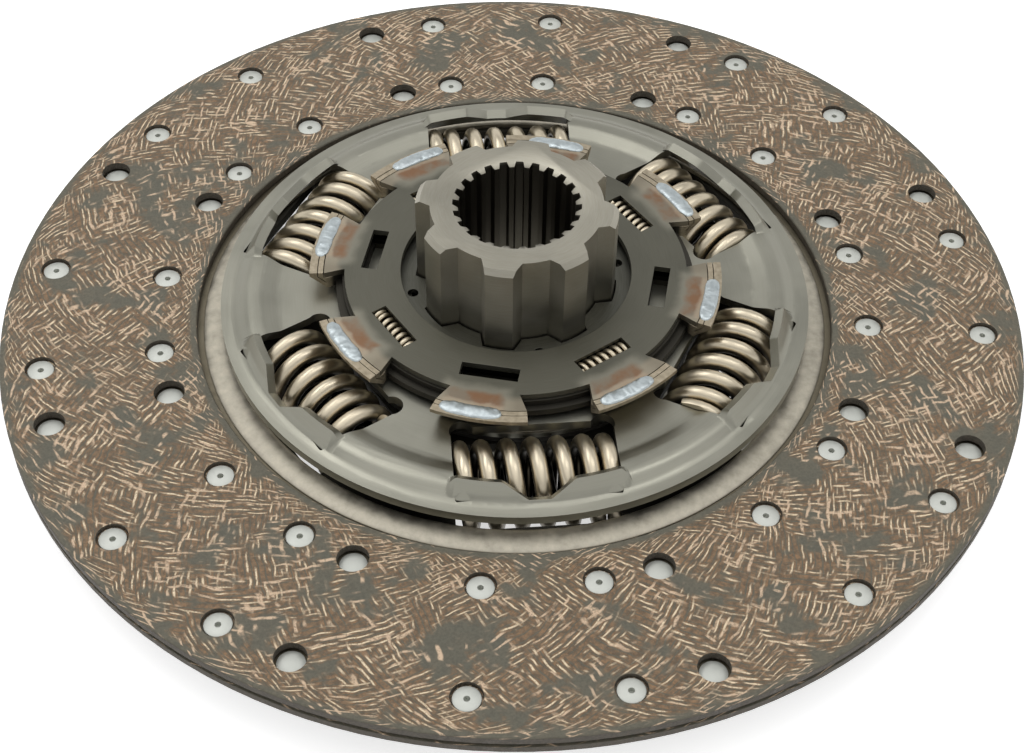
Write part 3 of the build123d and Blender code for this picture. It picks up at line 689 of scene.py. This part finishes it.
def dress(node):
    """Put a finished copy in place of a solid."""
    piece = merged_copy(node)
    if node in shape_of_node:
        shape_of_node[node](piece)
    piece.data.shade_smooth()
    piece.data.set_sharp_from_angle(angle=SHARP_ANGLE)
    piece.data.materials.append(finish_of_node.get(node, finish_of_slot[node_slot[node]]))
    edge = piece.modifiers.new("broken_edges", "BEVEL")
    edge.width = BROKEN_EDGE
    edge.segments = 2
    edge.limit_method = "ANGLE"
    edge.angle_limit = SHARP_ANGLE
    edge.harden_normals = True
    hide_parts(node)
    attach(piece, node_body[node])
    return piece


for node in sorted(frame["nodes"]):
    if "_spring_" not in node and node != "weld_beads":
        print(node, "faces:", len(dress(node).data.polygons))

# %% [markdown]
# Springs and weld beads repeat, so each kind is one geometry tree with named sizes. The first helper
# starts a tree, the second adds a node to it, and the last turns its result into a plain mesh, which
# the export can keep.

# %% Geometry tree helpers

def start_tree(name, sizes):
    """(tree, inputs by name, output socket) of a new geometry tree with number inputs."""
    tree = bpy.data.node_groups.new(name, "GeometryNodeTree")
    tree.interface.new_socket("Geometry", in_out="OUTPUT", socket_type="NodeSocketGeometry")
    for size in sizes:
        tree.interface.new_socket(size, in_out="INPUT", socket_type="NodeSocketFloat")
    given = tree.nodes.new("NodeGroupInput")
    result = tree.nodes.new("NodeGroupOutput")
    return tree, {size: given.outputs[size] for size in sizes}, result.inputs[0]


def geo(tree, kind, **values):
    """One geometry node, its sockets set by name with spaces as underscores."""
    node = tree.nodes.new(kind)
    for key, value in values.items():
        put(tree, value, node.inputs[key.replace("_", " ")])
    return node.outputs[0]


def grown(name, tree, material, body, slot, **sizes):
    """Plain mesh piece from a tree, with the given sizes."""
    seed = bpy.data.objects.new(name + "_tree", bpy.data.meshes.new(name + "_seed"))
    scene.collection.objects.link(seed)
    modifier = seed.modifiers.new("tree", "NODES")
    modifier.node_group = tree
    sockets = {item.name: item.identifier for item in tree.interface.items_tree if item.in_out == "INPUT"}
    for size, value in sizes.items():
        modifier[sockets[size.replace("_", " ")]] = value
    made = bpy.data.meshes.new_from_object(seed.evaluated_get(bpy.context.evaluated_depsgraph_get()))
    bpy.data.objects.remove(seed)
    piece = bpy.data.objects.new(name, made)
    scene.collection.objects.link(piece)
    made.materials.clear()
    made.materials.append(material)
    made.shade_smooth()
    made.set_sharp_from_angle(angle=radians(40))
    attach(piece, body)
    return piece


print("tree helpers:", [f.__name__ for f in (start_tree, geo, grown)])

# %% [markdown]
# A damper spring is wound from round wire. Its first and last turn lie close against their
# neighbours, and the turns between them stand open. A Screw modifier can't change its pitch on
# the way, so the rise of the wire is worked out here from the turns that it has made.

# %% Pitch of a closed spring
SPRING_SIZES = ("Coil Radius", "Wire Radius", "Length", "Turns", "Closed Start", "Closed End",
                "Phase", "Hand", "Steps", "Circle Radius", "Angle", "Height")


def run_along(tree, size, turn_now):
    """How far along its axis the wire has come, from the middle, after so many turns."""
    closed_rise = times(tree, size["Wire Radius"], 2.04)
    centre_length = minus(tree, size["Length"], times(tree, size["Wire Radius"], 0.6))
    closed_turns = plus(tree, size["Closed Start"], size["Closed End"])
    open_turns = minus(tree, size["Turns"], closed_turns)
    open_length = minus(tree, centre_length, times(tree, closed_turns, closed_rise))
    open_rise = calc(tree, "DIVIDE", open_length, open_turns)
    first = calc(tree, "MINIMUM", turn_now, size["Closed Start"])
    last_begins = minus(tree, size["Turns"], size["Closed End"])
    last = calc(tree, "MAXIMUM", minus(tree, turn_now, last_begins), 0.0)
    middle = minus(tree, minus(tree, turn_now, first), last)
    run = plus(tree, times(tree, plus(tree, first, last), closed_rise), times(tree, middle, open_rise))
    return minus(tree, run, times(tree, centre_length, 0.5))


print("sizes of a spring:", SPRING_SIZES)

# %% [markdown]
# The ends of the real spring are ground flat, so that it stands square in its window. The tree bends a
# line into the coil, gives it its round section, presses whatever is past the end planes flat, and
# then carries the spring to its place on the disc.

# %% Spring tree

def turned(tree, x, y, angle):
    """X and Y turned round the upright axis."""
    cosine, sine = calc(tree, "COSINE", angle), calc(tree, "SINE", angle)
    return (minus(tree, times(tree, x, cosine), times(tree, y, sine)),
            plus(tree, times(tree, x, sine), times(tree, y, cosine)))


def spring_tree():
    """Tree of one coil spring with closed and ground ends, in its place on the disc."""
    tree, size, result = start_tree("ground_spring", SPRING_SIZES)
    share = calc(tree, "DIVIDE", geo(tree, "GeometryNodeInputIndex"), minus(tree, size["Steps"], 1.0))
    turn_now = times(tree, share, size["Turns"])
    round_angle = plus(tree, times(tree, turn_now, tau), size["Phase"])
    outward = times(tree, calc(tree, "COSINE", round_angle), size["Coil Radius"])
    upward = times(tree, calc(tree, "SINE", round_angle), size["Coil Radius"], size["Hand"])
    line = geo(tree, "GeometryNodeCurvePrimitiveLine")
    line = geo(tree, "GeometryNodeResampleCurve", Curve=line, Count=size["Steps"])
    coil = geo(tree, "GeometryNodeSetPosition", Geometry=line,
               Position=point(tree, outward, run_along(tree, size, turn_now), upward))
    section = geo(tree, "GeometryNodeCurvePrimitiveCircle", Resolution=16, Radius=size["Wire Radius"])
    coil = geo(tree, "GeometryNodeCurveToMesh", Curve=coil, Profile_Curve=section, Fill_Caps=True)
    x, y, z = parts(tree, geo(tree, "GeometryNodeInputPosition"))
    limit = times(tree, size["Length"], 0.5)
    y = calc(tree, "MINIMUM", calc(tree, "MAXIMUM", y, times(tree, limit, -1.0)), limit)
    x = plus(tree, x, size["Circle Radius"])
    z = plus(tree, z, size["Height"])
    x, y = turned(tree, x, y, size["Angle"])
    coil = geo(tree, "GeometryNodeSetPosition", Geometry=coil, Position=point(tree, x, y, z))
    coil = geo(tree, "GeometryNodeRealizeInstances", Geometry=coil)
    tree.links.new(geo(tree, "GeometryNodeSetMaterial", Geometry=coil, Material=spring_wire), result)
    return tree


ground_spring = spring_tree()
print("spring tree nodes:", len(ground_spring.nodes))

# %% [markdown]
# Six outer springs stand in the windows with a thinner one inside each, wound the other way so
# that the coils can't catch, and four small ones stand in the cage. The phases differ, because
# nobody turns a round spring to a mark.

# %% Sizes of the springs
SMALL_SPRINGS, SMALL_SPRING_CIRCLE_R, SMALL_SPRING_Z = 4, 60.4 * MM, MID_Z + 18.7 * MM
MAIN_PHASE = (2.2, 3.4, 5.6, 2.2, 4.3, 2.9)
MAIN_SIZES = dict(Coil_Radius=15.3 * MM, Wire_Radius=3.3 * MM, Turns=6.75, Closed_Start=0.7, Closed_End=1.0,
                  Hand=-1.0, Steps=200.0)
INNER_SIZES = dict(Coil_Radius=8.8 * MM, Wire_Radius=1.8 * MM, Turns=10.5, Closed_Start=1.0, Closed_End=1.0,
                   Hand=1.0, Steps=220.0)
WINDOW_PLACE = dict(Length=64 * MM, Circle_Radius=SPRING_CIRCLE_R, Height=SPRING_Z)
SMALL_SIZES = dict(Coil_Radius=3.7 * MM, Wire_Radius=1.0 * MM, Turns=7.4, Closed_Start=0.8, Closed_End=0.8,
                   Hand=-1.0, Steps=150.0, Length=23.2 * MM, Circle_Radius=SMALL_SPRING_CIRCLE_R,
                   Height=SMALL_SPRING_Z)
print("wire of the main springs in mm:", round(2 * MAIN_SIZES["Wire_Radius"] / MM, 1))

# %% [markdown]
# A steel spring gets shorter while the damper turns, but its ends stay in the window. Each grown
# spring stands in place of the plain solid of the same spring.

# %% Springs in their windows

def place_spring(name, body, joint, keep, **sizes):
    """One grown spring in place of the plain solid of the same spring."""
    spring = grown(name + "_coil", ground_spring, spring_wire, body, "spring_wire", **sizes)
    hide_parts(name)
    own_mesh(spring)
    return spring


for k in range(WINDOWS):
    window = FIRST_WINDOW + k * WINDOW_PITCH
    outer = place_spring(f"main_spring_{k + 1}", "main_spring_set", "main_damper_twist", 0.8,
                         Phase=MAIN_PHASE[k], Angle=window, **MAIN_SIZES, **WINDOW_PLACE)
    inner = place_spring(f"inner_spring_{k + 1}", "main_spring_set", "main_damper_twist", 0.8,
                         Phase=MAIN_PHASE[-k], Angle=window, **INNER_SIZES, **WINDOW_PLACE)
for k in range(SMALL_SPRINGS):
    small = place_spring(f"small_spring_{k + 1}", "small_spring_set", "predamper_twist", 0.82,
                         Phase=2.0 + k, Angle=CAGE_ANGLE + k * tau / SMALL_SPRINGS, **SMALL_SIZES)
print("spring faces:", len(outer.data.polygons), len(inner.data.polygons), len(small.data.polygons))

# %% [markdown]
# Eight weld beads hold the three layers of the cage together. A bead is a long lump with a flat
# face, thicker in its middle and closed at both ends. A grid is rolled into that lump: its length
# runs along the bead, and its width goes once round the section.

# %% One weld bead
BEAD_SIZES = ("Beads", "First Angle", "Half Angle", "Radius", "Height", "Thick", "Tall", "Lumps")


def one_bead(tree, size):
    """Grid rolled into one long lump on the X axis."""
    grid = geo(tree, "GeometryNodeMeshGrid", Size_X=2.0, Size_Y=1.0, Vertices_X=61, Vertices_Y=25)
    along, round_share, _ = parts(tree, geo(tree, "GeometryNodeInputPosition"))
    blunt = calc(tree, "POWER", calc(tree, "ABSOLUTE", along), 5.0)
    end = calc(tree, "SQRT", calc(tree, "MAXIMUM", minus(tree, 1.0, blunt), 0.0))
    around = times(tree, round_share, tau)
    flat = []
    for wave in ("COSINE", "SINE"):
        value = calc(tree, wave, around)
        flat.append(times(tree, calc(tree, "SIGN", value),
                          calc(tree, "POWER", calc(tree, "ABSOLUTE", value), 0.75)))
    r = plus(tree, size["Radius"], times(tree, flat[0], size["Thick"], end))
    z = plus(tree, size["Height"], times(tree, flat[1], size["Tall"], end))
    a = times(tree, along, size["Half Angle"])
    place = point(tree, times(tree, r, calc(tree, "COSINE", a)), times(tree, r, calc(tree, "SINE", a)), z)
    bead = geo(tree, "GeometryNodeSetPosition", Geometry=grid, Position=place)
    return geo(tree, "GeometryNodeMergeByDistance", Geometry=bead, Distance=0.01 * MM)


print("sizes of a bead:", BEAD_SIZES)

# %% [markdown]
# Welding leaves ripples, and no two beads come out alike. The one lump is copied round the cage
# first, and the copies are pushed about by noise only then, so each gets ripples of its own.
# A finished bead copied eight times would look stamped.

# %% Weld beads
CAGE_TOP_Z = MID_Z + 24.0 * MM


def bead_tree():
    """Tree of all weld beads, copied round the cage and made uneven."""
    tree, size, result = start_tree("weld_bead", BEAD_SIZES)
    row = geo(tree, "GeometryNodeMeshLine", Count=size["Beads"], Offset=(0.0, 0.0, 0.0))
    bead_pitch = calc(tree, "DIVIDE", tau, size["Beads"])
    turn_now = plus(tree, size["First Angle"], times(tree, geo(tree, "GeometryNodeInputIndex"), bead_pitch))
    beads = geo(tree, "GeometryNodeInstanceOnPoints", Points=row, Instance=one_bead(tree, size),
                Rotation=point(tree, 0.0, 0.0, turn_now))
    beads = geo(tree, "GeometryNodeRealizeInstances", Geometry=beads)
    where = geo(tree, "GeometryNodeInputPosition")
    coarse = minus(tree, noise(tree, where, 260.0, 2.0), 0.5)
    fine = minus(tree, noise(tree, where, 900.0, 2.0), 0.5)
    lump = plus(tree, coarse, times(tree, fine, 0.5))
    push = tree.nodes.new("ShaderNodeVectorMath")
    push.operation = "SCALE"
    put(tree, geo(tree, "GeometryNodeInputNormal"), push.inputs[0])
    put(tree, times(tree, lump, size["Lumps"]), push.inputs["Scale"])
    beads = geo(tree, "GeometryNodeSetPosition", Geometry=beads, Offset=push.outputs[0])
    tree.links.new(geo(tree, "GeometryNodeSetMaterial", Geometry=beads, Material=weld_metal), result)
    return tree


beads = grown("weld_beads_rippled", bead_tree(), weld_metal, "damper_housing", "weld_metal",
              Beads=8.0, First_Angle=CAGE_ANGLE + BEAD_SHIFT, Half_Angle=radians(8.8), Radius=82.3 * MM,
              Height=CAGE_TOP_Z - 0.2 * MM, Thick=3.2 * MM, Tall=1.2 * MM, Lumps=0.9 * MM)
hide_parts("weld_beads")
print("bead faces:", len(beads.data.polygons))

# %% [markdown]
# The floor is pale and lit plainly. Seen by the camera or in a reflection it adds its own white,
# and its paint still takes the disc's shadow.

# %% Floor
FLOOR_HALF, FLOOR_Z = 4.0, -0.5 * MM
FLOOR_GLOW = 0.6


def floor_finish():
    """Matt pale paint that glows a little for the camera and for reflections."""
    material = bpy.data.materials.new("pale_floor")
    material.use_nodes = True
    tree = material.node_tree
    shader = tree.nodes["Principled BSDF"]
    shader.inputs["Base Color"].default_value = (0.8, 0.8, 0.8, 1)
    shader.inputs["Roughness"].default_value = 0.9
    shader.inputs["Specular IOR Level"].default_value = 0.0
    rays = tree.nodes.new("ShaderNodeLightPath").outputs
    seen = calc(tree, "MAXIMUM", rays["Is Camera Ray"],
                calc(tree, "MAXIMUM", rays["Is Glossy Ray"], rays["Is Transmission Ray"]))
    shader.inputs["Emission Color"].default_value = (1, 1, 1, 1)
    put(tree, times(tree, seen, FLOOR_GLOW), shader.inputs["Emission Strength"])
    return material


floor_mesh = bpy.data.meshes.new("floor")
corners = [(x * FLOOR_HALF, y * FLOOR_HALF, FLOOR_Z) for x, y in ((-1, -1), (1, -1), (1, 1), (-1, 1))]
floor_mesh.from_pydata(corners, [], [(0, 1, 2, 3)])
floor_mesh.materials.append(floor_finish())
floor = bpy.data.objects.new("floor", floor_mesh)
scene.collection.objects.link(floor)
print("floor width in m:", 2 * FLOOR_HALF)

# %% [markdown]
# Steel looks like what it mirrors. A sky of one white would leave it flat, so the sky is bright near
# the horizon, dimmer at mid height, and brightest overhead. Two large soft lamps add the shadow and
# a gleam on the bends.

# %% Sky and lamps
BRIGHT_HORIZON, DIM_MIDDLE, BRIGHT_TOP = 1.0, 0.55, 0.62

world = bpy.data.worlds.new("studio")
scene.world = world
world.use_nodes = True
sky_tree = world.node_tree
sky = sky_tree.nodes["Background"]
sky.inputs[0].default_value = (1, 1, 1, 1)
height = parts(sky_tree, sky_tree.nodes.new("ShaderNodeTexCoord").outputs["Generated"])[2]
low_band = step(sky_tree, height, sin(radians(24)), sin(radians(40)), BRIGHT_HORIZON, DIM_MIDDLE)
high_band = step(sky_tree, height, sin(radians(47)), sin(radians(60)), 0.0, BRIGHT_TOP)
put(sky_tree, plus(sky_tree, low_band, high_band), sky.inputs[1])


def soft_light(name, where, size, power):
    """Oblong area light that looks at the disc."""
    data = bpy.data.lights.new(name, "AREA")
    data.shape = "RECTANGLE"
    data.size, data.size_y = size
    data.energy = power
    lamp = bpy.data.objects.new(name, data)
    aim = Vector(where) - Vector((0, 0, 0.03))
    lamp.matrix_world = Matrix.Translation(where) @ aim.to_track_quat("Z", "Y").to_matrix().to_4x4()
    scene.collection.objects.link(lamp)


soft_light("key_softbox", (-0.55, 0.5, 1.3), (1.0, 0.5), 3.2)
soft_light("strip_softbox", (0.5, 0.1, 1.4), (0.25, 1.0), 1.6)
